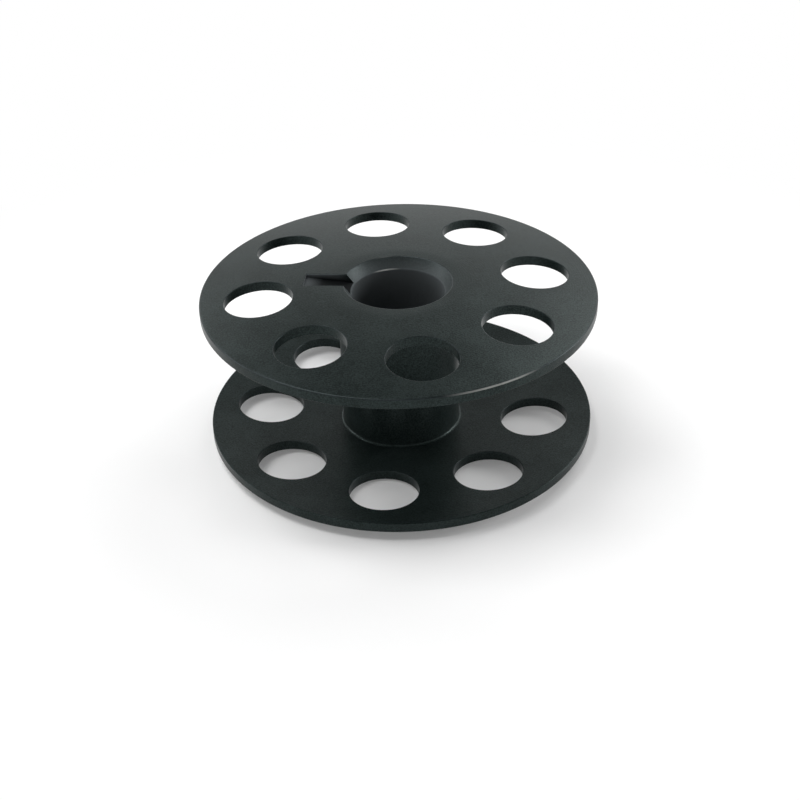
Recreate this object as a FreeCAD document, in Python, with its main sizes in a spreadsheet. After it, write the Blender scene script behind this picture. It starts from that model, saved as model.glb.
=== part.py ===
import FreeCAD, Part
import math
import os
import Sketcher

# Sewing machine bobbin: one steel spool with two dished, pierced flanges on a hollow hub.
# The bobbin axis is +Z and the lower end of the hub stands on Z = 0.
# The drive slot in the upper end of the hub points along -X.

# Driving sizes in millimetres and degrees
SIZES = {
    "flange_diameter": 25.4,
    "flange_thickness": 0.65,
    # how far each rim lies inside the end of the hub
    "flange_dish": 0.6,
    "rim_radius": 0.1,
    # over both ends of the hub
    "overall_width": 10.8,
    "hub_wall": 0.9,
    # small slope where the hub meets each flange
    "hub_root_bevel": 0.15,
    # flat ring round each bore mouth, which the bobbin stands on
    "hub_land": 0.8,
    "bore_diameter": 6.0,
    "bore_flare_width": 0.5,
    "bore_flare_depth": 0.7,
    "hole_count": 8,
    "hole_diameter": 4.4,
    # metal left between a hole and the rim
    "hole_rim_land": 1.55,
    # turn of the first hole of each flange from +X
    "upper_hole_angle": 15.2,
    "lower_hole_angle": -1.0,
    "slot_width": 1.5,
    # from the bore wall to the outer end of the slot
    "slot_length": 3.05,
    # at the outer end of the slot, below the level of the hub end
    "slot_end_depth": 0.3,
    "slot_ramp_angle": 5.5,
}

# Sizes that follow from the driving ones
FLANGE_RADIUS = "sizes.flange_diameter / 2"
BORE_RADIUS = "sizes.bore_diameter / 2"
HUB_RADIUS = "sizes.bore_diameter / 2 + sizes.hub_wall"
HOLE_CIRCLE_RADIUS = "(sizes.flange_diameter - sizes.hole_diameter) / 2 - sizes.hole_rim_land"
SLOT_REACH = "sizes.bore_diameter / 2 + sizes.slot_length"
SLOT_DROP = f"sizes.slot_end_depth + ({SLOT_REACH}) * tan(sizes.slot_ramp_angle * 1 deg)"
MIDDLE = "sizes.overall_width / 2"

# Corners of the section's lower half, in order from the bore mouth round to the hub
SECTION = ("mouth", "land", "rim", "brim", "foot", "root")

# Point and axis references of a sketch constraint, with points counted up from 1 and axes down from -1
START, END, CENTRE = range(1, 4)
X_AXIS, Y_AXIS = range(-1, -3, -1)
ORIGIN = (X_AXIS, START)

doc = FreeCAD.newDocument("sewing_bobbin")


def fill_sheet():
    """Put each driving size in a cell that carries its name."""
    sheet = doc.addObject("Spreadsheet::Sheet", "sizes")
    for row, (name, value) in enumerate(SIZES.items(), start=1):
        sheet.set(f"A{row}", name)
        sheet.set(f"B{row}", str(value))
        sheet.setAlias(f"B{row}", name)
    doc.recompute()
    return sheet


def number(formula):
    """Value of a formula of the sheet's sizes, for a sketch's first guess."""
    value = sheet.evalExpression(formula)
    return float(getattr(value, "Value", value))


def origin_part(body, role):
    """Plane or axis of the body's own origin."""
    return next(part for part in body.Origin.OriginFeatures if part.Role == role)


def new_sketch(body, name, plane):
    """Sketch that lies on one of the body's origin planes."""
    sketch = body.newObject("Sketcher::SketchObject", name)
    sketch.AttachmentSupport = (origin_part(body, plane), [""])
    sketch.MapMode = "FlatFace"
    return sketch


def join(sketch, kind, *references):
    """Geometric constraint."""
    sketch.addConstraint(Sketcher.Constraint(kind, *references))


def dimension(sketch, name, formula, kind, *references):
    """Named driving dimension bound to the sheet."""
    guess = number(formula)
    if kind == "Angle":
        guess = math.radians(guess)
        formula = f"({formula}) * 1 deg"
    index = sketch.addConstraint(Sketcher.Constraint(kind, *references, guess))
    sketch.renameConstraint(index, name)
    sketch.setExpression(f"Constraints.{name}", formula)


def add_line(sketch, start, end, construction=False):
    """Straight line between two points of the sketch."""
    return sketch.addGeometry(Part.LineSegment(start, end), construction)


def add_outline(sketch, points):
    """Closed run of straight lines through named points, each line named for the point it starts from."""
    names = list(points)
    following = dict(zip(names, names[1:] + names[:1]))
    lines = {name: add_line(sketch, points[name], points[following[name]]) for name in names}
    return lines, {after: before for before, after in following.items()}


def meet(sketch, before, after):
    """Sharp corner where one line ends and the next starts."""
    join(sketch, "Coincident", before, END, after, START)
    return after, START


def meet_in_arc(sketch, before, after, radius):
    """Tangent arc at the corner of two lines, which stays as a construction point."""
    arriving, leaving = sketch.Geometry[before], sketch.Geometry[after]
    corner = leaving.StartPoint
    back = (arriving.StartPoint - corner).normalize()
    ahead = (leaving.EndPoint - corner).normalize()
    half_angle = back.getAngle(ahead) / 2
    trim = radius / math.tan(half_angle)
    first, last = corner + back * trim, corner + ahead * trim
    centre = corner + (back + ahead).normalize() * (radius / math.sin(half_angle))
    left_turn = ahead.cross(back).z > 0
    near, far = (first, last) if left_turn else (last, first)
    angles = [math.atan2(point.y - centre.y, point.x - centre.x) for point in (near, far)]
    circle = Part.Circle(centre, FreeCAD.Vector(0, 0, 1), radius)
    arc = sketch.addGeometry(Part.ArcOfCircle(circle, *angles), False)
    point = sketch.addGeometry(Part.Point(corner), True)
    join(sketch, "PointOnObject", point, START, before)
    join(sketch, "PointOnObject", point, START, after)
    join(sketch, "Tangent", before, END, arc, START if left_turn else END)
    join(sketch, "Tangent", after, START, arc, END if left_turn else START)
    return arc, (point, START)


def must_cut(feature, base):
    """A cut that points away from the metal removes nothing, so the volumes are compared."""
    doc.recompute()
    if not feature.Shape.Volume < base.Shape.Volume:
        raise RuntimeError(f"{feature.Label} removes no metal")


def section_points():
    """First places of the half-section's corners, with the upper half mirrored about the middle."""
    bore, flange = number(BORE_RADIUS), number(FLANGE_RADIUS)
    mouth = bore + number("sizes.bore_flare_width")
    dish, thickness = number("sizes.flange_dish"), number("sizes.flange_thickness")
    hub, bevel = number(HUB_RADIUS), number("sizes.hub_root_bevel")
    lower = {
        "mouth": (mouth, 0),
        "land": (mouth + number("sizes.hub_land"), 0),
        "rim": (flange, dish),
        "brim": (flange, dish + thickness),
        "foot": (hub + bevel, thickness),
        "root": (hub, thickness + bevel),
    }
    width, flare = number("sizes.overall_width"), number("sizes.bore_flare_depth")
    points = {f"{name}_low": FreeCAD.Vector(*lower[name], 0) for name in SECTION}
    for name in reversed(SECTION):
        points[f"{name}_high"] = FreeCAD.Vector(lower[name][0], width - lower[name][1], 0)
    points["bore_high"] = FreeCAD.Vector(bore, width - flare, 0)
    points["bore_low"] = FreeCAD.Vector(bore, flare, 0)
    return points


def turn_spool(body):
    """Hub and both flanges, turned from one half-section."""
    sketch = new_sketch(body, "spool_section", "XZ_Plane")
    points = section_points()
    lines, previous = add_outline(sketch, points)
    corners, arcs = {}, {}
    for name, line in lines.items():
        before = lines[previous[name]]
        if name in ("rim_low", "rim_high"):
            arcs[name], corners[name] = meet_in_arc(sketch, before, line, number("sizes.rim_radius"))
        else:
            corners[name] = meet(sketch, before, line)

    # the upper half mirrors the lower one
    middle_left = FreeCAD.Vector(0, number(MIDDLE), 0)
    middle = add_line(sketch, middle_left, middle_left + FreeCAD.Vector(number(FLANGE_RADIUS), 0, 0), True)
    join(sketch, "Horizontal", middle)
    join(sketch, "PointOnObject", middle, START, Y_AXIS)
    join(sketch, "Vertical", middle, END, *corners["rim_low"])
    dimension(sketch, "middle", MIDDLE, "DistanceY", *ORIGIN, middle, START)
    for name in SECTION + ("bore",):
        join(sketch, "Symmetric", *corners[f"{name}_low"], *corners[f"{name}_high"], middle)
    join(sketch, "Equal", arcs["rim_low"], arcs["rim_high"])

    # the lower half
    mouth, land, rim, brim, foot, root, bore = [corners[f"{name}_low"] for name in SECTION + ("bore",)]
    join(sketch, "PointOnObject", *mouth, X_AXIS)
    join(sketch, "Horizontal", lines["mouth_low"])
    join(sketch, "Vertical", lines["rim_low"])
    join(sketch, "Parallel", lines["land_low"], lines["brim_low"])
    dimension(sketch, "bore_size", BORE_RADIUS, "DistanceX", *ORIGIN, *bore)
    dimension(sketch, "flare_depth", "sizes.bore_flare_depth", "DistanceY", *ORIGIN, *bore)
    dimension(sketch, "flare_width", "sizes.bore_flare_width", "DistanceX", *bore, *mouth)
    dimension(sketch, "land_width", "sizes.hub_land", "DistanceX", *mouth, *land)
    dimension(sketch, "flange_size", FLANGE_RADIUS, "DistanceX", *ORIGIN, *rim)
    dimension(sketch, "dish", "sizes.flange_dish", "DistanceY", *ORIGIN, *rim)
    dimension(sketch, "thickness", "sizes.flange_thickness", "DistanceY", *rim, *brim)
    dimension(sketch, "rim_radius", "sizes.rim_radius", "Radius", arcs["rim_low"])
    dimension(sketch, "hub_size", HUB_RADIUS, "DistanceX", *ORIGIN, *root)
    dimension(sketch, "root_width", "sizes.hub_root_bevel", "DistanceX", *root, *foot)
    dimension(sketch, "root_height", "sizes.hub_root_bevel", "DistanceY", *foot, *root)

    spool = body.newObject("PartDesign::Revolution", "spool")
    spool.Profile = sketch
    spool.ReferenceAxis = (sketch, ["V_Axis"])
    spool.Angle = 360
    doc.recompute()
    return spool


def pierce_flange(body, base, side, level, upward):
    """Ring of round holes through one flange, cut from its end of the hub to the middle of the bobbin."""
    angle = f"sizes.{side}_hole_angle"
    turn, reach = math.radians(number(angle)), number(HOLE_CIRCLE_RADIUS)
    centre = FreeCAD.Vector(reach * math.cos(turn), reach * math.sin(turn), 0)
    sketch = new_sketch(body, f"{side}_hole_outline", "XY_Plane")
    sketch.setExpression("AttachmentOffset.Base.z", level)
    spoke = add_line(sketch, FreeCAD.Vector(), centre, True)
    edge = Part.Circle(centre, FreeCAD.Vector(0, 0, 1), number("sizes.hole_diameter") / 2)
    circle = sketch.addGeometry(edge, False)
    join(sketch, "Coincident", spoke, START, *ORIGIN)
    join(sketch, "Coincident", spoke, END, circle, CENTRE)
    dimension(sketch, "circle_radius", HOLE_CIRCLE_RADIUS, "Distance", spoke)
    dimension(sketch, "turn", angle, "Angle", spoke)
    dimension(sketch, "diameter", "sizes.hole_diameter", "Diameter", circle)
    hole = body.newObject("PartDesign::Pocket", f"{side}_hole")
    hole.Profile = sketch
    hole.Reversed = upward
    hole.setExpression("Length", MIDDLE)
    must_cut(hole, base)
    ring = body.newObject("PartDesign::PolarPattern", f"{side}_holes")
    ring.Originals = [hole]
    ring.Axis = (origin_part(body, "Z_Axis"), [""])
    ring.Angle = 360
    ring.setExpression("Occurrences", "sizes.hole_count")
    body.Tip = ring
    must_cut(ring, hole)
    return ring


def cut_drive_slot(body, base):
    """Blind slot from the bore mouth outwards, with a floor that ramps up to its outer end."""
    top, reach = number("sizes.overall_width"), number(SLOT_REACH)
    sketch = new_sketch(body, "drive_slot_section", "XZ_Plane")
    points = {
        "end_high": FreeCAD.Vector(-reach, top, 0),
        "axis_high": FreeCAD.Vector(0, top, 0),
        "axis_low": FreeCAD.Vector(0, top - number(SLOT_DROP), 0),
        "end_low": FreeCAD.Vector(-reach, top - number("sizes.slot_end_depth"), 0),
    }
    lines, previous = add_outline(sketch, points)
    corners = {name: meet(sketch, lines[previous[name]], line) for name, line in lines.items()}
    end_high, axis_high, axis_low, end_low = corners.values()
    join(sketch, "Horizontal", lines["end_high"])
    join(sketch, "Vertical", lines["end_low"])
    join(sketch, "PointOnObject", *axis_high, Y_AXIS)
    join(sketch, "PointOnObject", *axis_low, Y_AXIS)
    dimension(sketch, "top", "sizes.overall_width", "DistanceY", *ORIGIN, *end_high)
    dimension(sketch, "reach", SLOT_REACH, "DistanceX", *end_high, *axis_high)
    dimension(sketch, "end_depth", "sizes.slot_end_depth", "DistanceY", *end_low, *end_high)
    dimension(sketch, "drop", SLOT_DROP, "DistanceY", *axis_low, *axis_high)
    slot = body.newObject("PartDesign::Pocket", "drive_slot")
    slot.Profile = sketch
    slot.SideType = "Symmetric"
    slot.setExpression("Length", "sizes.slot_width")
    must_cut(slot, base)
    return slot


def build_bobbin():
    """The whole bobbin as one body."""
    body = doc.addObject("PartDesign::Body", "bobbin")
    body.Label = "bobbin"
    spool = turn_spool(body)
    upper = pierce_flange(body, spool, "upper", "sizes.overall_width", False)
    lower = pierce_flange(body, upper, "lower", "0", True)
    body.Tip = cut_drive_slot(body, lower)
    doc.recompute()
    return body


def check_model(bodies):
    """Stop if any feature failed or a sub-part is not one whole solid."""
    for item in doc.Objects:
        if {"Invalid", "Error"} & set(item.State):
            raise RuntimeError(f"{item.Label} failed: {item.State}")
    for body in bodies:
        shape = body.Shape
        if shape.isNull() or not shape.isValid() or len(shape.Solids) != 1:
            raise RuntimeError(f"{body.Label} is not one valid solid")


def write_parts(bodies):
    """One file for each sub-part, named for it."""
    os.makedirs("parts", exist_ok=True)
    for body in bodies:
        shape = body.Shape
        shape.exportStep(f"parts/{body.Label}.step")
        box = shape.optimalBoundingBox(False, False)
        size = f"{box.XLength:.2f} x {box.YLength:.2f} x {box.ZLength:.2f} mm"
        print(f"{body.Label}: {size}, {shape.Volume:.1f} mm3")


sheet = fill_sheet()
bodies = [build_bobbin()]
check_model(bodies)
write_parts(bodies)
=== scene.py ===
from collections import namedtuple
import math

import bmesh
import bpy
from bpy.props import FloatProperty, FloatVectorProperty, IntProperty, PointerProperty
from mathutils import Matrix, Quaternion, Vector


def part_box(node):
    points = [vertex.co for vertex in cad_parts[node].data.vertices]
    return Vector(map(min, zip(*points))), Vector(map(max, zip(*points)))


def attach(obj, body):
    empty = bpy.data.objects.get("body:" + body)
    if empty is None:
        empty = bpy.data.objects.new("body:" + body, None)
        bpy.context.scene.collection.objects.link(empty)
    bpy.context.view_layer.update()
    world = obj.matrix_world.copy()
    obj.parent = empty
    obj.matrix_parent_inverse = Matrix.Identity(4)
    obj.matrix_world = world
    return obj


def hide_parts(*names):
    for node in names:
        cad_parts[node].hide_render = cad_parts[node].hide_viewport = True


bl_info = {
    "name": "Sewing Machine Bobbin",
    "version": (1, 0, 0),
    "blender": (4, 5, 0),
    "location": "3D View > Sidebar > Bobbin",
    "description": "Builds a blackened steel sewing machine bobbin and a plain studio round it",
    "category": "Object",
}

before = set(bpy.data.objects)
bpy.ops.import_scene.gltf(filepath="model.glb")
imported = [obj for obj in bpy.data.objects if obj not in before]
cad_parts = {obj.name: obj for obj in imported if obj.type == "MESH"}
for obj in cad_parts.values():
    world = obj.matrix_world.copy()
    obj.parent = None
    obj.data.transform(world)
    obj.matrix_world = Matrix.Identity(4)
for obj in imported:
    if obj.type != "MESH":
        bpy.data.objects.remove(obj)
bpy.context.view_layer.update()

MM = 0.001
CAD_NODE = "bobbin"
CAD_BODY = "root"
WEAR = "edge_wear"
# mark for the bore's lighter colour: partly spindle rub, partly painted light that lifts the shaded
# bore
RUB_AND_LIGHT = "rub_and_painted_light"
# mark for the painted shade on the drive slot's floor
SLOT_SHADE_MARK = "painted_slot_shade"
NODE_LOW, NODE_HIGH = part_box(CAD_NODE)

# Fineness of the mesh
SECTOR_ARC_STEPS = 25
SECTOR_SIDE_STEPS = 14
ROUNDING_STEPS = 5
DISH_STEPS = 4
SLOT_STEPS = 8
FLOOR_SIDES = 128
# shares of the way from a hole's edge to the outline of its sector
SECTOR_RINGS = (0.05, 0.2, 0.45, 0.72, 1.0)
# a guard point lies this share of a rounding's length beyond it,
# so that the flat beside it stays flat when shaded smooth
GUARD = 0.4

# Round softboxes: watts, width in millimetres, and degrees of turn to the left of straight behind
# and of height
Lamp = namedtuple("Lamp", "watts width azimuth elevation")
LAMPS = {
    "key_softbox": Lamp(0.55, 200, 78, 68),
    "right_softbox": Lamp(0.29, 180, -36, 40),
    "left_softbox": Lamp(0.14, 150, 35, 32),
    "back_softbox": Lamp(0.043, 200, -2, 16),
    "right_side_softbox": Lamp(0.48, 150, -80, 14),
    "left_side_softbox": Lamp(0.24, 150, 80, 14),
}

# Sine of the height up to which the surroundings have the horizon's light,
# and from which they have the ceiling's
HORIZON_TOP = 0.1
CEILING_FROM = 0.8

# The photograph is square, so the focal length is given for a square picture
SENSOR_MM = 36.0


def linear(hex_colour):
    """Linear RGBA of an sRGB hex colour."""
    channels = [int(hex_colour[i:i + 2], 16) / 255 for i in (1, 3, 5)]
    return tuple(c / 12.92 if c <= 0.04045 else ((c + 0.055) / 1.055) ** 2.4 for c in channels) + (1.0,)


def length(name, description, millimetres):
    """Property for a length, given in millimetres."""
    return FloatProperty(
        name=name, description=description, default=millimetres * MM, precision=5, unit="LENGTH"
    )


def angle(name, description, degrees):
    """Property for an angle, given in degrees."""
    return FloatProperty(
        name=name, description=description, default=math.radians(degrees), unit="ROTATION"
    )


def share(name, description, value):
    """Property for a number from 0 to 1."""
    return FloatProperty(
        name=name, description=description, default=value, min=0, max=1, subtype="FACTOR"
    )


def colour(name, description, hex_colour):
    """Property for a colour, given as sRGB hex."""
    return FloatVectorProperty(
        name=name, description=description, default=linear(hex_colour), size=4, min=0, max=1,
        subtype="COLOR"
    )


class BobbinSizes(bpy.types.PropertyGroup):
    """Sizes of the turned and pierced spool."""

    flange_diameter: length("Flange diameter", "Across each flange", (NODE_HIGH.x - NODE_LOW.x) / MM)
    overall_width: length("Overall width", "Over both ends of the hub", (NODE_HIGH.z - NODE_LOW.z) / MM)
    flange_thickness: length("Flange thickness", "Of each flange, along the axis", 0.65)
    flange_dish: length("Flange dish", "How far each rim lies inside the end of the hub", 0.6)
    dish_bow: share("Dish bow", "Part of the dish from its slope growing towards the rim", 0.5)
    rim_radius: length("Rim rounding", "On the outer edge of each rim", 0.1)
    brim_radius: length("Brim rounding", "On the thread side of each rim", 0.05)
    hub_wall: length("Hub wall", "From the bore to the thread side of the hub", 0.9)
    hub_root_radius: length("Hub root rounding", "Where the hub meets each flange", 0.15)
    hub_land: length("Hub land", "Width of the flat ring round each bore mouth", 0.8)
    land_bend_radius: length("Land bend", "Radius of the bend from flat ring to dished flange", 16.0)
    bore_diameter: length("Bore diameter", "Of the hole for the spindle", 6.0)
    bore_flare_width: length("Bore flare width", "How far each mouth opens beyond the bore", 0.5)
    bore_flare_depth: length("Bore flare depth", "How far each flare goes in", 0.7)
    mouth_radius: length("Mouth rounding", "On the outer edge of each bore flare", 0.08)
    throat_radius: length("Throat rounding", "Where each flare meets the bore", 0.22)
    hole_count: IntProperty(
        name="Holes", description="Number of holes in each flange", default=8, min=3
    )
    hole_diameter: length("Hole diameter", "Of each round hole", 4.4)
    hole_rim_land: length("Hole rim land", "Metal left between a hole and the rim", 1.55)
    hole_edge_radius: length("Hole edge rounding", "On both edges of each hole", 0.04)
    upper_hole_angle: angle("Upper hole angle", "Turn of the first upper hole from +X", 15.2)
    lower_hole_angle: angle("Lower hole angle", "Turn of the first lower hole from +X", -1.0)
    sector_margin: length("Sector margin", "From a hole to the ring-shaped edges of its sector", 0.45)
    slot_width: length("Slot width", "Across the drive slot", 1.5)
    slot_length: length("Slot length", "From the bore wall to the outer end of the slot", 3.05)
    slot_end_depth: length("Slot end depth", "Of the slot's outer end, below the end of the hub", 0.3)
    slot_ramp_angle: angle("Slot ramp", "Slope of the slot's floor", 5.5)
    slot_edge: length("Slot edge break", "Small bevel along the slot's upper edges", 0.05)
    # share of the bore's lighter colour, partly spindle rub and partly painted light, that reaches the
    # flares
    flare_rub_and_light: share("Flare rub", "How much a spindle rubs the flares, beside the bore", 0.25)
    # the slot floor's painted shade: its share at the outer end, and how far in it grows to whole
    shade_at_slot_end: share("Grime at end", "How much grime lies at the outer end of the slot", 0.3)
    shade_fade_length: length("Grime fade", "From the slot's outer end to where the grime is whole", 1.6)
    # where the painted highlights lie: a stretch of the upper rim's edge and of the bore mouth
    rim_glint_angle: angle("Rim scuff angle", "Turn of the upper rim's bright stretch from +X", -58)
    rim_glint_length: length("Rim scuff length", "Of the upper rim's bright stretch", 7.0)
    bore_glint_angle: angle("Bore scuff angle", "Turn of the bore mouth's bright stretch from +X", 111)
    bore_glint_length: length("Bore scuff length", "Of the bore mouth's bright stretch", 2.2)


class BobbinFinish(bpy.types.PropertyGroup):
    """Colours and surface of the blackened steel."""

    oxide: colour("Oxide", "Blackened steel", "#192120")
    oxide_thin: colour("Thin oxide", "Blackened steel where the oxide layer is thinner", "#2c3534")
    worn_edge: colour("Worn edge", "Steel that shows through on handled edges", "#33373a")
    # painted highlight: near-white colour where a lamp's glint falls on the rim and the bore mouth
    painted_highlight: colour("Bare edge", "Steel of the bright stretches of rim and bore", "#f2f3ee")
    # lighter colour in the bore, partly spindle rub and partly painted light that lifts the bore out of
    # its shade
    rubbed_and_lit_bore: colour("Rubbed bore", "Duller, lighter steel where a spindle rubs", "#5c6163")
    # painted shade: near-black colour on the slot's floor, where the narrow slot lies in shade
    painted_slot_shade: colour("Slot grime", "Oil and dust on the floor of the drive slot", "#0e1112")
    dulling: share("Dulling", "What rubbing and grime add to the roughness", 0.38)
    metallic: share("Metallic", "How much steel shows through the oxide layer", 0.5)
    gloss: share("Gloss", "Specular level of the oxide layer", 0.17)
    glance: share("Glance", "Strength of reflections at flat angles", 0.8)
    roughness: share("Roughness", "Of the oiled oxide layer", 0.32)
    roughness_spread: share("Roughness spread", "How much the layer varies", 0.1)
    cloud_size: length("Cloud size", "Width of the patches of thinner oxide", 2.5)
    cloud_share: share("Cloud share", "Strength of those patches beside the grain", 0.4)
    turning_pitch: length("Turning pitch", "Distance between tool marks", 0.16)
    turning_depth: length("Turning depth", "Height of the tool marks", 0.0012)
    grain_size: length("Grain size", "Width of the crystals of the oxide layer", 0.09)
    grain_depth: length("Grain depth", "Height of the crystals", 0.007)


class StudioSettings(bpy.types.PropertyGroup):
    """Plain studio round the bobbin."""

    floor: colour("Floor", "Plain pale floor", "#fafafa")
    floor_size: length("Floor size", "Width of the round floor", 640)
    floor_glow: share("Floor glow", "Share of the floor's brightness that shadows leave", 0.12)
    shadow_reach: length("Shadow reach", "From the axis to where the floor's shadow is whole", 14)
    plain_white_from: length("Plain white from", "From the axis to where the floor is plain white", 50)
    horizon_light: share("Horizon light", "Brightness of the surroundings near the floor", 1.0)
    ceiling_light: share("Ceiling light", "Brightness of the surroundings overhead", 0.0)
    lamp_power: share("Lamp power", "Share of each lamp's full power", 1.0)
    lamp_distance: length("Lamp distance", "From the bobbin to each lamp", 300)
    camera_azimuth: angle("Camera azimuth", "Turn of the camera about the bobbin's axis", 6.7)
    camera_reach: length("Camera reach", "From the bobbin's axis to the camera, level", 76.29)
    camera_height: length("Camera height", "Of the camera above the floor", 52.56)
    aim_behind: length("Aim behind", "How far behind the axis the camera aims at the floor", 2.59)
    aim_aside: length("Aim aside", "How far to the right of the axis the camera aims", -0.072)
    camera_roll: angle("Camera roll", "Tilt of the camera", -1.52)
    lens: FloatProperty(
        name="Lens", description="Focal length for a 36 mm frame", default=61.15, min=1, unit="CAMERA"
    )


# Where the section of one flange turns a corner: radius, depth below the end of the hub, rounding,
# and wear of the edge
Corner = namedtuple("Corner", "radius depth rounding wear", defaults=(0, 0))


class FlangeSection:
    """Section of one flange, with depths counted from its end of the hub."""

    def __init__(self, size):
        self.bore = size.bore_diameter / 2
        self.mouth = self.bore + size.bore_flare_width
        self.land = self.mouth + size.hub_land
        self.hub = self.bore + size.hub_wall
        self.rim = size.flange_diameter / 2
        self.hole = size.hole_diameter / 2
        self.hole_circle = self.rim - size.hole_rim_land - self.hole
        self.band_inner = self.hole_circle - self.hole - size.sector_margin
        self.band_outer = self.hole_circle + self.hole + size.sector_margin
        self.dish, self.bow = size.flange_dish, size.dish_bow
        self.thickness = size.flange_thickness

    def outer(self, radius):
        """Depth of the dished outer face, which bows like a shallow bowl."""
        way = (radius - self.land) / (self.rim - self.land)
        return self.dish * way * (1 - self.bow + self.bow * way)

    def inner(self, radius):
        """Depth of the thread side."""
        return self.outer(radius) + self.thickness

    def along(self, face, start, end):
        """Corners spaced along a dished face, without its two ends."""
        radii = [start + (end - start) * i / DISH_STEPS for i in range(1, DISH_STEPS)]
        return tuple(Corner(radius, face(radius)) for radius in radii)

    def bore_to_band(self, size):
        """From the bore over its flared mouth and the flat land to the pierced band."""
        bore_start = size.bore_flare_depth + size.hub_land
        return (
            Corner(self.bore, bore_start),
            # edge wear at the throat and mouth also carries the bore mouth's painted highlight
            Corner(self.bore, size.bore_flare_depth, size.throat_radius, 1),
            Corner(self.mouth, 0, size.mouth_radius, 1),
            Corner(self.land, 0, size.land_bend_radius),
            *self.along(self.outer, self.land, self.band_inner),
            Corner(self.band_inner, self.outer(self.band_inner)),
        )

    def round_the_rim(self, size):
        """From the pierced band round the rim to the thread side."""
        return (
            Corner(self.band_outer, self.outer(self.band_outer)),
            *self.along(self.outer, self.band_outer, self.rim),
            # edge wear at the rim also carries the rim's painted highlight
            Corner(self.rim, size.flange_dish, size.rim_radius, 1),
            Corner(self.rim, size.flange_dish + size.flange_thickness, size.brim_radius),
            *self.along(self.inner, self.rim, self.band_outer),
            Corner(self.band_outer, self.inner(self.band_outer)),
        )

    def band_to_hub(self, size):
        """From the pierced band on the thread side down to the hub."""
        root = self.inner(self.hub)
        return (
            Corner(self.band_inner, self.inner(self.band_inner)),
            *self.along(self.inner, self.band_inner, self.hub),
            Corner(self.hub, root, size.hub_root_radius),
            Corner(self.hub, root + size.hub_land),
        )


def rounded(corners):
    """Points (radius, depth, wear) along a section, with each rounding as an arc."""
    points = []
    for index, corner in enumerate(corners):
        place = Vector(corner[:2])
        if not corner.rounding:
            points.append((*place, 0))
            continue
        back = (Vector(corners[index - 1][:2]) - place).normalized()
        ahead = (Vector(corners[index + 1][:2]) - place).normalized()
        half_angle = back.angle(ahead) / 2
        trim = corner.rounding / math.tan(half_angle)
        centre = place + (back + ahead).normalized() * corner.rounding / math.sin(half_angle)
        first, last = place + back * trim - centre, place + ahead * trim - centre
        sweep = first.angle(last)
        points.append((*(place + back * trim * (1 + GUARD)), 0))
        for step in range(ROUNDING_STEPS + 1):
            turned = sweep * step / ROUNDING_STEPS
            spoke = (first * math.sin(sweep - turned) + last * math.sin(turned)) / math.sin(sweep)
            wear = corner.wear * math.sin(math.pi * step / ROUNDING_STEPS)
            points.append((*(centre + spoke), wear))
        points.append((*(place + ahead * trim * (1 + GUARD)), 0))
    return points


def bridge(mesh, ring, other):
    """Quads between two closed rings of as many points."""
    for corners in zip(ring, ring[1:] + ring[:1], other[1:] + other[:1], other):
        mesh.faces.new(corners)


class SpoolMesh:
    """Quads of the spool, laid ring by ring."""

    def __init__(self):
        self.mesh = bmesh.new()
        self.wear = self.mesh.verts.layers.float.new(WEAR)
        self.rub_light = self.mesh.verts.layers.float.new(RUB_AND_LIGHT)

    def ring(self, places, wear):
        """Closed ring of points."""
        points = [self.mesh.verts.new(place) for place in places]
        for point in points:
            point[self.wear] = wear
        return points

    def stack(self, rings):
        """Quads through a row of rings."""
        for ring, other in zip(rings, rings[1:]):
            bridge(self.mesh, ring, other)
        return rings

    def mark_bore_rub_and_light(self, section, flare_rub_and_light):
        """Mark the bore for its lighter colour, partly spindle rub and partly painted light that lifts
        the shaded bore: the bore most, and its flares less from a short way out.
        """
        fades_within = 0.25
        for point in self.mesh.verts:
            way = (point.co.xy.length - section.bore) / (section.mouth - section.bore)
            if way < 1:
                point[self.rub_light] = max(1 - max(way, 0) / fades_within, flare_rub_and_light)


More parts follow.
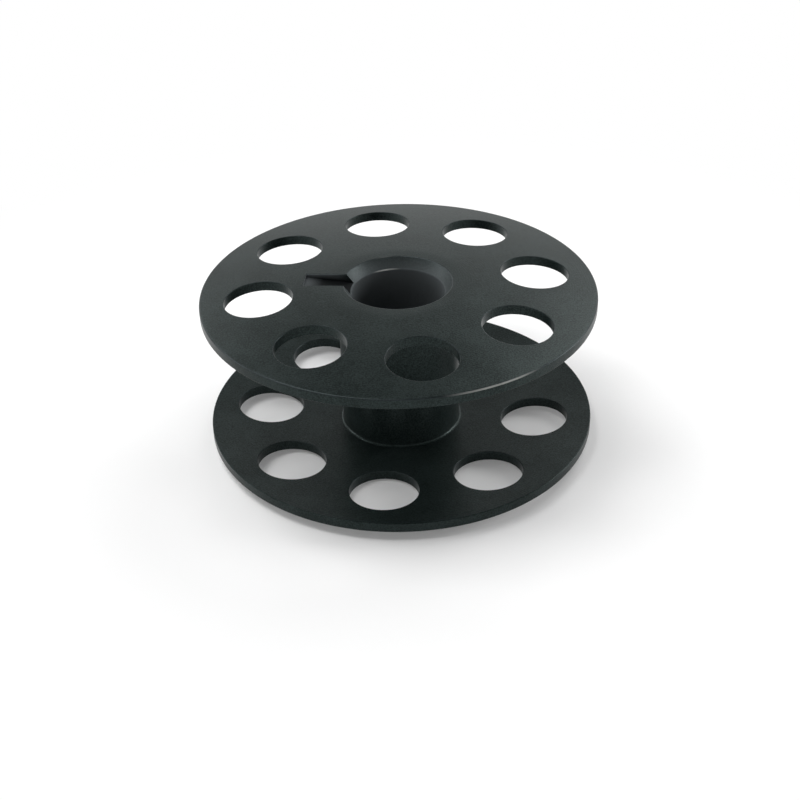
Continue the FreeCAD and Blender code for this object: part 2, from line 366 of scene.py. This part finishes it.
class Flange:
    """One flange of the spool, at the upper or the lower end."""

    def __init__(self, spool, size, end, facing, hole_angle):
        self.spool, self.size, self.end, self.facing = spool, size, end, facing
        self.section = FlangeSection(size)
        self.hole_angle = hole_angle
        self.columns = size.hole_count * SECTOR_ARC_STEPS
        self.step = math.tau / self.columns

    def at(self, flat, depth):
        """Point in space of a point of the flange's plan."""
        return (flat.x, flat.y, self.end - self.facing * depth)

    def turned(self, corners):
        """Rings of a section turned about the axis."""
        start = self.hole_angle + math.pi / self.size.hole_count
        first = start % self.step
        turns = [Matrix.Rotation(first + self.step * i, 2) for i in range(self.columns)]
        rings = []
        for radius, depth, wear in rounded(corners):
            spokes = [turn @ Vector((radius, 0)) for turn in turns]
            rings.append(self.spool.ring([self.at(spoke, depth) for spoke in spokes], wear))
        return self.spool.stack(rings)

    def sector_outline(self):
        """Plan of one hole's sector, with the hole on +X."""
        half = math.pi / self.size.hole_count
        inner, outer = self.section.band_inner, self.section.band_outer
        arc = [half * (2 * i / SECTOR_ARC_STEPS - 1) for i in range(SECTOR_ARC_STEPS)]
        side = [inner + (outer - inner) * i / SECTOR_SIDE_STEPS for i in range(SECTOR_SIDE_STEPS)]
        polar = [(inner, turn) for turn in arc]
        polar += [(radius, half) for radius in side]
        polar += [(outer, -turn) for turn in arc]
        polar += [(inner + outer - radius, -half) for radius in side]
        return [radius * Vector((math.cos(turn), math.sin(turn))) for radius, turn in polar]

    def pierced_sector(self, turn):
        """Sector round one hole: the outer face, the hole's rounded wall and the thread side."""
        section, edge = self.section, self.size.hole_edge_radius
        centre = Vector((section.hole_circle, 0))
        outline = self.sector_outline()
        spokes = [(point - centre).normalized() for point in outline]
        quarter = [math.pi / 2 * i / ROUNDING_STEPS for i in range(ROUNDING_STEPS + 1)]
        # from the outer face to mid-wall: reach from the hole to the outline,
        # the rounding's overhang and depth, and wear
        layers = [(reach, edge, 0, 0) for reach in reversed(SECTOR_RINGS)]
        for bend in quarter:
            overhang, depth = edge * (1 - math.sin(bend)), edge * (1 - math.cos(bend))
            layers.append((0, overhang, depth, math.sin(2 * bend)))
        layers.append((0, 0, edge * (1 + GUARD), 0))
        spin = Matrix.Rotation(turn, 2)
        rings = []
        for face, inward, order in ((section.outer, 1, layers), (section.inner, -1, layers[::-1])):
            for reach, overhang, depth, wear in order:
                starts = [centre + spoke * (section.hole + overhang) for spoke in spokes]
                flat = [start.lerp(point, reach) for start, point in zip(starts, outline)]
                places = [
                    self.at(spin @ point, face(point.length) + inward * depth) for point in flat
                ]
                rings.append(self.spool.ring(places, wear))
        self.spool.stack(rings)

    def build(self):
        """Lay the whole flange and return its open rings in the bore and on the hub."""
        bore_rings = self.turned(self.section.bore_to_band(self.size))
        self.turned(self.section.round_the_rim(self.size))
        hub_rings = self.turned(self.section.band_to_hub(self.size))
        for i in range(self.size.hole_count):
            self.pierced_sector(self.hole_angle + math.tau * i / self.size.hole_count)
        return bore_rings[0], hub_rings[-1]


def mesh_object(name, mesh):
    """Object in the scene for a finished bmesh."""
    data = bpy.data.meshes.new(name)
    mesh.to_mesh(data)
    mesh.free()
    made = bpy.data.objects.new(name, data)
    bpy.context.scene.collection.objects.link(made)
    return made


def turn_spool(size):
    """Hub and both flanges as one closed skin of quads."""
    spool = SpoolMesh()
    upper = Flange(spool, size, size.overall_width, 1, size.upper_hole_angle)
    lower = Flange(spool, size, 0, -1, size.lower_hole_angle)
    for upper_ring, lower_ring in zip(upper.build(), lower.build()):
        bridge(spool.mesh, upper_ring, lower_ring)
    weld_distance = 0.001 * MM
    bmesh.ops.remove_doubles(spool.mesh, verts=spool.mesh.verts, dist=weld_distance)
    bmesh.ops.recalc_face_normals(spool.mesh, faces=spool.mesh.faces)
    spool.mark_bore_rub_and_light(upper.section, size.flare_rub_and_light)
    if any(not edge.is_manifold for edge in spool.mesh.edges):
        raise RuntimeError("the spool's skin is not closed")
    return mesh_object("steel_bobbin", spool.mesh)


def slot_reach(size):
    """From the axis to the outer end of the drive slot."""
    return size.bore_diameter / 2 + size.slot_length


def slot_floor(size, x):
    """Height of the slot's ramped floor."""
    drop = (slot_reach(size) + x) * math.tan(size.slot_ramp_angle)
    return size.overall_width - size.slot_end_depth - drop


def slot_cutter(size):
    """Wedge that clears the drive slot, with sides that lean out at the upper edges."""
    section = FlangeSection(size)
    half, edge, over = size.slot_width / 2, size.slot_edge, size.mouth_radius * 2
    step = (slot_reach(size) - section.land) / SLOT_STEPS
    stations = [section.land + step * i for i in range(SLOT_STEPS + 1)]
    cutter = bmesh.new()
    loops = []
    for radius in [0] + stations:
        top = size.overall_width - max(0, section.outer(radius))
        low, high = (half, slot_floor(size, -radius)), (half, top - edge)
        right = [low, high, (half + edge + over, top + over)]
        outline = right + [(-y, z) for y, z in reversed(right)]
        loops.append([cutter.verts.new((-radius, y, z)) for y, z in outline])
    for loop, other in zip(loops, loops[1:]):
        bridge(cutter, loop, other)
    cutter.faces.new(loops[0])
    cutter.faces.new(loops[-1])
    bmesh.ops.recalc_face_normals(cutter, faces=cutter.faces)
    return mesh_object("slot_cutter", cutter)


def cut_away(piece, cutter):
    """Take the cutter's room out of a piece for good."""
    cut = piece.modifiers.new("drive_slot", "BOOLEAN")
    cut.operation = "DIFFERENCE"
    cut.solver = "EXACT"
    cut.object = cutter
    seen = piece.evaluated_get(bpy.context.evaluated_depsgraph_get())
    whole = piece.data
    piece.data = bpy.data.meshes.new_from_object(seen)
    piece.data.name = piece.name
    piece.modifiers.clear()
    bpy.data.meshes.remove(whole)
    spare = cutter.data
    bpy.data.objects.remove(cutter)
    bpy.data.meshes.remove(spare)


def paint_shade_in_slot(piece, size):
    """Mark the floor of the drive slot for painted shade, darker towards the bore."""
    slot_shade = piece.data.attributes.new(SLOT_SHADE_MARK, "FLOAT", "POINT")
    near = 0.01 * MM
    for point in piece.data.vertices:
        x, y, z = point.co
        from_end = slot_reach(size) + x
        in_plan = from_end > -near and x < 0 and abs(y) < size.slot_width / 2 + near
        if in_plan and abs(z - slot_floor(size, x)) < near:
            slot_shade.data[point.index].value = min(size.shade_at_slot_end + from_end / size.shade_fade_length, 1)


def add_node(tree, kind, settings=None, **inputs):
    """Node with its settings and with its inputs set, or linked where an output is given.

    An input goes by its name, or by its number as _0, _1 and so on.
    """
    node = tree.nodes.new(kind)
    for name, value in (settings or {}).items():
        setattr(node, name, value)
    for name, value in inputs.items():
        socket = node.inputs[int(name[1:]) if name[1:].isdigit() else name.replace("_", " ")]
        if isinstance(value, bpy.types.NodeSocket):
            tree.links.new(value, socket)
        else:
            socket.default_value = value
    return node


def new_material(name):
    """Empty node material and its tree."""
    material = bpy.data.materials.new(name)
    material.use_nodes = True
    material.node_tree.nodes.clear()
    return material, material.node_tree


def oxide_pattern(tree, finish, place):
    """Patches of thinner oxide, grain of its crystals, and rings from the tool, from 0 to 1 each."""
    clouds = add_node(
        tree, "ShaderNodeTexNoise",
        Vector=place, Scale=1 / finish.cloud_size, Detail=4.0, Roughness=0.6
    )
    # crystals are finer than this on the real part;
    # they are drawn as wide as a picture element to show at all
    grain = add_node(
        tree, "ShaderNodeTexNoise", Vector=place, Scale=1 / finish.grain_size, Detail=2.0
    )
    # tool marks are nearer to 0.05 mm apart on the real part, which is too fine to show
    wave_at_scale_one = math.tau / 20
    rings = add_node(
        tree, "ShaderNodeTexWave", {"wave_type": "RINGS", "rings_direction": "Z"},
        Vector=place, Scale=wave_at_scale_one / finish.turning_pitch, Distortion=0.6, Detail=1.0
    )
    return [pattern.outputs["Fac"] for pattern in (clouds, grain, rings)]


def thin_oxide(tree, finish, clouds, grain):
    """How thin the oxide is, from 0 to 1."""
    both = add_node(
        tree, "ShaderNodeMath", {"operation": "MULTIPLY_ADD"},
        _0=clouds, _1=finish.cloud_share, _2=grain
    ).outputs[0]
    middle = (finish.cloud_share + 1) / 2
    half_range = 0.15
    return add_node(
        tree, "ShaderNodeMapRange",
        Value=both, From_Min=middle - half_range, From_Max=middle + half_range
    ).outputs[0]


def glint_spots(tree, size, place):
    """Mask of the painted highlights: 1 in the middle of the rim's and the bore mouth's stretch, and 0
    from their ends.
    """
    stretches = (
        (size.flange_diameter / 2, size.flange_dish, size.rim_glint_angle, size.rim_glint_length),
        (size.bore_diameter / 2, size.bore_flare_depth, size.bore_glint_angle, size.bore_glint_length),
    )
    bright = 0
    for radius, depth, turn, long in stretches:
        middle = Matrix.Rotation(turn, 3, "Z") @ Vector((radius, 0, size.overall_width - depth))
        away = add_node(
            tree, "ShaderNodeVectorMath", {"operation": "DISTANCE"}, _0=place, _1=middle
        ).outputs["Value"]
        near = add_node(
            tree, "ShaderNodeMapRange", {"interpolation_type": "SMOOTHSTEP"},
            Value=away, From_Max=long / 2, To_Min=1.0, To_Max=0.0
        ).outputs[0]
        bright = add_node(
            tree, "ShaderNodeMath", {"operation": "MAXIMUM"}, _0=bright, _1=near
        ).outputs[0]
    return bright


def black_oxide_on_turned_steel(finish, size):
    """Turned steel, blackened in a hot salt bath and oiled.

    To the eye: a dark, slightly cool grey that gets lighter at flat angles, satin, with faint rings
    from the tool, cloudy patches where the layer is thin and lighter metal along handled edges.
    Painted into the colour are a highlight on a stretch of the upper rim and of the bore mouth,
    light that lifts the shaded bore, partly as spindle rub, and shade on the drive slot's floor.
    """
    material, tree = new_material("black_oxide_on_turned_steel")
    place = add_node(tree, "ShaderNodeTexCoord").outputs["Object"]
    clouds, grain, rings = oxide_pattern(tree, finish, place)
    # edge wear; the bore's lighter colour, partly spindle rub and partly painted light; the slot's
    # painted shade
    edge, spindle, slot_shade = [
        add_node(tree, "ShaderNodeAttribute", {"attribute_name": mark}).outputs["Fac"]
        for mark in (WEAR, RUB_AND_LIGHT, SLOT_SHADE_MARK)
    ]
    worn = add_node(
        tree, "ShaderNodeMath", {"operation": "MULTIPLY"}, _0=edge, _1=clouds
    ).outputs[0]
    # painted highlight: worn edges turned near white on those two stretches
    glint_paint = add_node(
        tree, "ShaderNodeMath", {"operation": "MULTIPLY"},
        _0=glint_spots(tree, size, place), _1=worn
    ).outputs[0]
    # coats over the oxide: thinner oxide, worn edges, the bore's lighter colour (partly spindle rub,
    # partly painted light), the slot's painted shade, and the painted highlights
    coats = (
        (thin_oxide(tree, finish, clouds, grain), finish.oxide_thin),
        (worn, finish.worn_edge),
        (spindle, finish.rubbed_and_lit_bore),
        (slot_shade, finish.painted_slot_shade),
        (glint_paint, finish.painted_highlight),
    )
    tint = tuple(finish.oxide)
    for amount, coat in coats:
        tint = add_node(
            tree, "ShaderNodeMix", {"data_type": "RGBA"}, _0=amount, _6=tint, _7=tuple(coat)
        ).outputs[2]
    low = finish.roughness - finish.roughness_spread / 2
    satin = add_node(
        tree, "ShaderNodeMapRange", Value=clouds, To_Min=low, To_Max=low + finish.roughness_spread
    ).outputs[0]
    dull = add_node(
        tree, "ShaderNodeMath", {"operation": "MAXIMUM"}, _0=spindle, _1=slot_shade
    ).outputs[0]
    dulled = add_node(
        tree, "ShaderNodeMath", {"operation": "MULTIPLY_ADD"},
        _0=dull, _1=finish.dulling, _2=satin
    ).outputs[0]
    marks = add_node(
        tree, "ShaderNodeBump", Height=rings, Distance=finish.turning_depth, Strength=1.0
    ).outputs[0]
    surface = add_node(
        tree, "ShaderNodeBump",
        Height=grain, Distance=finish.grain_depth, Strength=1.0, Normal=marks
    ).outputs[0]
    steel = add_node(
        tree, "ShaderNodeBsdfPrincipled",
        Base_Color=tint, Metallic=finish.metallic, Specular_IOR_Level=finish.gloss,
        Specular_Tint=(finish.glance,) * 3 + (1,), Roughness=dulled, Normal=surface
    ).outputs[0]
    add_node(tree, "ShaderNodeOutputMaterial", Surface=steel)
    return material


def seen_directly(tree):
    """1 for what the camera sees, straight, mirrored or through glass, and 0 for scattered light."""
    path = add_node(tree, "ShaderNodeLightPath")
    mirrored = add_node(
        tree, "ShaderNodeMath", {"operation": "MAXIMUM"},
        _0=path.outputs["Is Glossy Ray"], _1=path.outputs["Is Transmission Ray"]
    ).outputs[0]
    return add_node(
        tree, "ShaderNodeMath", {"operation": "MAXIMUM"},
        _0=path.outputs["Is Camera Ray"], _1=mirrored
    ).outputs[0]


def matt_white_paper(studio):
    """Seamless white paper, uncoated and rolled smooth.

    To the eye: flat white without gloss, which keeps a soft shadow and fades into white surroundings.
    """
    material, tree = new_material("matt_white_paper")
    place = add_node(tree, "ShaderNodeTexCoord").outputs["Object"]
    off_axis = add_node(
        tree, "ShaderNodeVectorMath", {"operation": "LENGTH"}, _0=place
    ).outputs["Value"]
    plain = add_node(
        tree, "ShaderNodeMapRange", {"interpolation_type": "SMOOTHSTEP"},
        Value=off_axis, From_Min=studio.shadow_reach, From_Max=studio.plain_white_from,
        To_Min=studio.floor_glow, To_Max=1.0
    ).outputs[0]
    glow = add_node(
        tree, "ShaderNodeMath", {"operation": "MULTIPLY"}, _0=seen_directly(tree), _1=plain
    ).outputs[0]
    lit = add_node(
        tree, "ShaderNodeMix", {"data_type": "RGBA"},
        _0=glow, _6=tuple(studio.floor), _7=(0, 0, 0, 1)
    ).outputs[2]
    paper = add_node(tree, "ShaderNodeBsdfDiffuse", Color=lit).outputs[0]
    light = add_node(tree, "ShaderNodeEmission", Color=(1, 1, 1, 1), Strength=glow).outputs[0]
    both = add_node(tree, "ShaderNodeAddShader", _0=paper, _1=light).outputs[0]
    add_node(tree, "ShaderNodeOutputMaterial", Surface=both)
    return material


def lay_floor(studio):
    """Plain floor just under the bobbin."""
    disc = bmesh.new()
    bmesh.ops.create_circle(disc, cap_ends=True, segments=FLOOR_SIDES, radius=studio.floor_size / 2)
    floor = mesh_object("studio_floor", disc)
    gap = 0.02 * MM
    floor.location.z = -gap
    floor.data.materials.append(matt_white_paper(studio))


def hang_lamp(studio, name, lamp):
    """Round soft lamp that faces the bobbin."""
    light = bpy.data.lights.new(name, "AREA")
    light.shape = "DISK"
    light.size = lamp.width * MM
    light.energy = lamp.watts * studio.lamp_power
    hung = bpy.data.objects.new(name, light)
    bpy.context.scene.collection.objects.link(hung)
    hung.visible_camera = False
    turn = Matrix.Rotation(studio.camera_azimuth + math.radians(lamp.azimuth), 3, "Z")
    rise = Matrix.Rotation(math.radians(lamp.elevation), 3, "X")
    hung.location = turn @ rise @ Vector((0, studio.lamp_distance, 0))
    hung.rotation_mode = "QUATERNION"
    hung.rotation_quaternion = (-hung.location).to_track_quat("-Z", "Y")


def light_studio(studio):
    """White surroundings that get dimmer overhead, and the lamps."""
    world = bpy.data.worlds.new("studio")
    world.use_nodes = True
    tree = world.node_tree
    tree.nodes.clear()
    way = add_node(tree, "ShaderNodeTexCoord").outputs["Generated"]
    height = add_node(tree, "ShaderNodeSeparateXYZ", Vector=way).outputs["Z"]
    strength = add_node(
        tree, "ShaderNodeMapRange", {"interpolation_type": "SMOOTHSTEP"},
        Value=height, From_Min=HORIZON_TOP, From_Max=CEILING_FROM,
        To_Min=studio.horizon_light, To_Max=studio.ceiling_light
    ).outputs[0]
    sky = add_node(tree, "ShaderNodeBackground", Color=(1, 1, 1, 1), Strength=strength).outputs[0]
    add_node(tree, "ShaderNodeOutputWorld", Surface=sky)
    bpy.context.scene.world = world
    for name, lamp in LAMPS.items():
        hang_lamp(studio, name, lamp)


def place_camera(studio):
    """Camera at the photograph's place."""
    data = bpy.data.cameras.new("camera")
    data.sensor_width = SENSOR_MM
    data.lens = studio.lens
    data.clip_start = MM
    camera = bpy.data.objects.new("camera", data)
    bpy.context.scene.collection.objects.link(camera)
    turn = Matrix.Rotation(studio.camera_azimuth, 3, "Z")
    camera.location = turn @ Vector((0, -studio.camera_reach, studio.camera_height))
    aim = turn @ Vector((studio.aim_aside, studio.aim_behind, 0))
    camera.rotation_mode = "QUATERNION"
    level = (aim - camera.location).to_track_quat("-Z", "Y")
    camera.rotation_quaternion = level @ Quaternion((0, 0, 1), studio.camera_roll)
    bpy.context.scene.camera = camera


class BOBBIN_OT_make_spool(bpy.types.Operator):
    """Turn, pierce and slot the bobbin, and blacken it"""

    bl_idname = "bobbin.make_spool"
    bl_label = "Make Bobbin"

    def execute(self, context):
        size = context.scene.bobbin_sizes
        spool = turn_spool(size)
        cut_away(spool, slot_cutter(size))
        paint_shade_in_slot(spool, size)
        smooth_below = math.radians(35)
        spool.data.shade_smooth()
        spool.data.set_sharp_from_angle(angle=smooth_below)
        spool.data.materials.append(black_oxide_on_turned_steel(context.scene.bobbin_finish, size))
        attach(spool, CAD_BODY)
        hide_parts(CAD_NODE)
        return {"FINISHED"}


class BOBBIN_OT_set_stage(bpy.types.Operator):
    """Lay the floor, light the studio and place the camera"""

    bl_idname = "bobbin.set_stage"
    bl_label = "Set Stage"

    def execute(self, context):
        studio = context.scene.bobbin_studio
        lay_floor(studio)
        light_studio(studio)
        place_camera(studio)
        context.scene.view_settings.view_transform = "Standard"
        return {"FINISHED"}


class BOBBIN_PT_sidebar(bpy.types.Panel):
    """Bobbin tools"""

    bl_label = "Bobbin"
    bl_idname = "BOBBIN_PT_sidebar"
    bl_space_type = "VIEW_3D"
    bl_region_type = "UI"
    bl_category = "Bobbin"

    def draw(self, context):
        scene = context.scene
        parts = (
            ("bobbin.make_spool", (scene.bobbin_sizes, scene.bobbin_finish)),
            ("bobbin.set_stage", (scene.bobbin_studio,)),
        )
        for operator, groups in parts:
            box = self.layout.box()
            for group in groups:
                for name in group.bl_rna.properties.keys():
                    if name not in ("rna_type", "name"):
                        box.prop(group, name)
            box.operator(operator)


CLASSES = (
    BobbinSizes,
    BobbinFinish,
    StudioSettings,
    BOBBIN_OT_make_spool,
    BOBBIN_OT_set_stage,
    BOBBIN_PT_sidebar,
)


def register():
    for cls in CLASSES:
        bpy.utils.register_class(cls)
    bpy.types.Scene.bobbin_sizes = PointerProperty(type=BobbinSizes)
    bpy.types.Scene.bobbin_finish = PointerProperty(type=BobbinFinish)
    bpy.types.Scene.bobbin_studio = PointerProperty(type=StudioSettings)


def unregister():
    del bpy.types.Scene.bobbin_studio
    del bpy.types.Scene.bobbin_finish
    del bpy.types.Scene.bobbin_sizes
    for cls in reversed(CLASSES):
        bpy.utils.unregister_class(cls)


def main():
    register()
    bpy.ops.bobbin.make_spool()
    bpy.ops.bobbin.set_stage()


if __name__ == "__main__":
    main()
